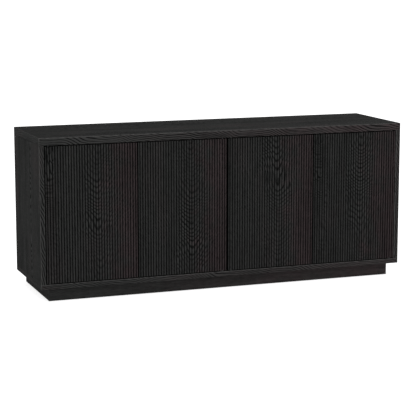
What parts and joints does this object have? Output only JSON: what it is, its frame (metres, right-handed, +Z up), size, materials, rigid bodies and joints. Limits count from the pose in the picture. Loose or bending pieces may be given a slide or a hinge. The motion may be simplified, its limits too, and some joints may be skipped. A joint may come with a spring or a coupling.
{
  "type": "sideboard buffet",
  "caption": "Long low storage sideboard with fluted push-to-open swing doors, shelved compartments and a recessed plinth.",
  "frame": {"origin": "on the floor, in the middle of the footprint", "axes": "+Z up, +X to the right of a person who faces the doors, the doors face -Y"},
  "size_m": [1.473, 0.4, 0.619],
  "materials": {
    "oak_horizontal": "black stain on open-grain oak, satin",
    "oak_upright": "black stain on open-grain oak, satin",
    "oak_doors": "black stain on fluted open-grain oak, satin",
    "oak_plinth": "black stain on open-grain oak, satin",
    "plinth_frame": "plain softwood",
    "back_board": "black-faced fibreboard, matt",
    "beech_dowel": "plain beech",
    "zinc_fittings": "zinc plated",
    "steel_screws": "black zinc plated",
    "pivot_steel": "black oxide",
    "pivot_bushes": "black oxide",
    "latch_plastic": "fine moulded texture",
    "latch_magnet": "nickel plated",
    "spring_steel": "spring wire",
    "strike_steel": "zinc plated",
    "stop_rubber": "soft matt",
    "glide_plastic": "smooth nylon"
  },
  "bodies": {
    "carcass": {"top_panel": "oak_horizontal", "bottom_panel": "oak_horizontal", "left_side_panel": "oak_upright", "right_side_panel": "oak_upright", "centre_partition": "oak_upright", "back_panel_left": "back_board", "back_panel_right": "back_board", "back_panel_screws": "steel_screws", "left_shelf": "oak_horizontal", "right_shelf": "oak_horizontal", "shelf_pins": "zinc_fittings", "cam_locks": "zinc_fittings", "cam_bolts": "zinc_fittings", "dowels": "beech_dowel", "plinth_front_rail": "oak_plinth", "plinth_rear_rail": "oak_plinth", "plinth_left_rail": "oak_plinth", "plinth_right_rail": "oak_plinth", "plinth_centre_brace": "plinth_frame", "plinth_corner_blocks": "plinth_frame", "plinth_screws": "steel_screws", "glides": "glide_plastic", "bottom_pivot_bushes": "pivot_bushes", "top_pivot_bushes": "pivot_bushes", "door_stops": "oak_horizontal", "stop_pads": "stop_rubber", "stop_screws": "steel_screws", "push_latch_housings": "latch_plastic", "push_latch_screws": "steel_screws", "left_outer_latch_spring": "spring_steel", "left_inner_latch_spring": "spring_steel", "right_inner_latch_spring": "spring_steel", "right_outer_latch_spring": "spring_steel"},
    "left_outer_door": {"left_outer_door_panel": "oak_doors", "left_outer_door_pivot_pins": "pivot_steel", "left_outer_strike_plate": "strike_steel", "left_outer_strike_screw": "steel_screws"},
    "left_inner_door": {"left_inner_door_panel": "oak_doors", "left_inner_door_pivot_pins": "pivot_steel", "left_inner_strike_plate": "strike_steel", "left_inner_strike_screw": "steel_screws"},
    "right_inner_door": {"right_inner_door_panel": "oak_doors", "right_inner_door_pivot_pins": "pivot_steel", "right_inner_strike_plate": "strike_steel", "right_inner_strike_screw": "steel_screws"},
    "right_outer_door": {"right_outer_door_panel": "oak_doors", "right_outer_door_pivot_pins": "pivot_steel", "right_outer_strike_plate": "strike_steel", "right_outer_strike_screw": "steel_screws"},
    "left_outer_latch": {"left_outer_latch_plunger": "latch_plastic", "left_outer_latch_magnet": "latch_magnet"},
    "left_inner_latch": {"left_inner_latch_plunger": "latch_plastic", "left_inner_latch_magnet": "latch_magnet"},
    "right_inner_latch": {"right_inner_latch_plunger": "latch_plastic", "right_inner_latch_magnet": "latch_magnet"},
    "right_outer_latch": {"right_outer_latch_plunger": "latch_plastic", "right_outer_latch_magnet": "latch_magnet"}
  },
  "joints": [
    {"name": "left_outer_door_swing", "type": "hinge", "parent": "carcass", "child": "left_outer_door", "pos_m": [-0.701, -0.191, 0.331], "axis": [0, 0, -1], "range_deg": [0, 105]},
    {"name": "left_inner_door_swing", "type": "hinge", "parent": "carcass", "child": "left_inner_door", "pos_m": [-0.0175, -0.191, 0.331], "axis": [0, 0, 1], "range_deg": [0, 90]},
    {"name": "right_inner_door_swing", "type": "hinge", "parent": "carcass", "child": "right_inner_door", "pos_m": [0.0175, -0.191, 0.331], "axis": [0, 0, -1], "range_deg": [0, 90]},
    {"name": "right_outer_door_swing", "type": "hinge", "parent": "carcass", "child": "right_outer_door", "pos_m": [0.701, -0.191, 0.331], "axis": [0, 0, 1], "range_deg": [0, 105]},
    {"name": "left_outer_latch_press", "type": "slide", "parent": "carcass", "child": "left_outer_latch", "axis": [0, 1, 0], "range_m": [0, 0.003], "stiffness_N_per_m": 400, "springref_m": -0.004, "deforming": ["left_outer_latch_spring"]},
    {"name": "left_inner_latch_press", "type": "slide", "parent": "carcass", "child": "left_inner_latch", "axis": [0, 1, 0], "range_m": [0, 0.003], "stiffness_N_per_m": 400, "springref_m": -0.004, "deforming": ["left_inner_latch_spring"]},
    {"name": "right_inner_latch_press", "type": "slide", "parent": "carcass", "child": "right_inner_latch", "axis": [0, 1, 0], "range_m": [0, 0.003], "stiffness_N_per_m": 400, "springref_m": -0.004, "deforming": ["right_inner_latch_spring"]},
    {"name": "right_outer_latch_press", "type": "slide", "parent": "carcass", "child": "right_outer_latch", "axis": [0, 1, 0], "range_m": [0, 0.003], "stiffness_N_per_m": 400, "springref_m": -0.004, "deforming": ["right_outer_latch_spring"]}
  ]
}
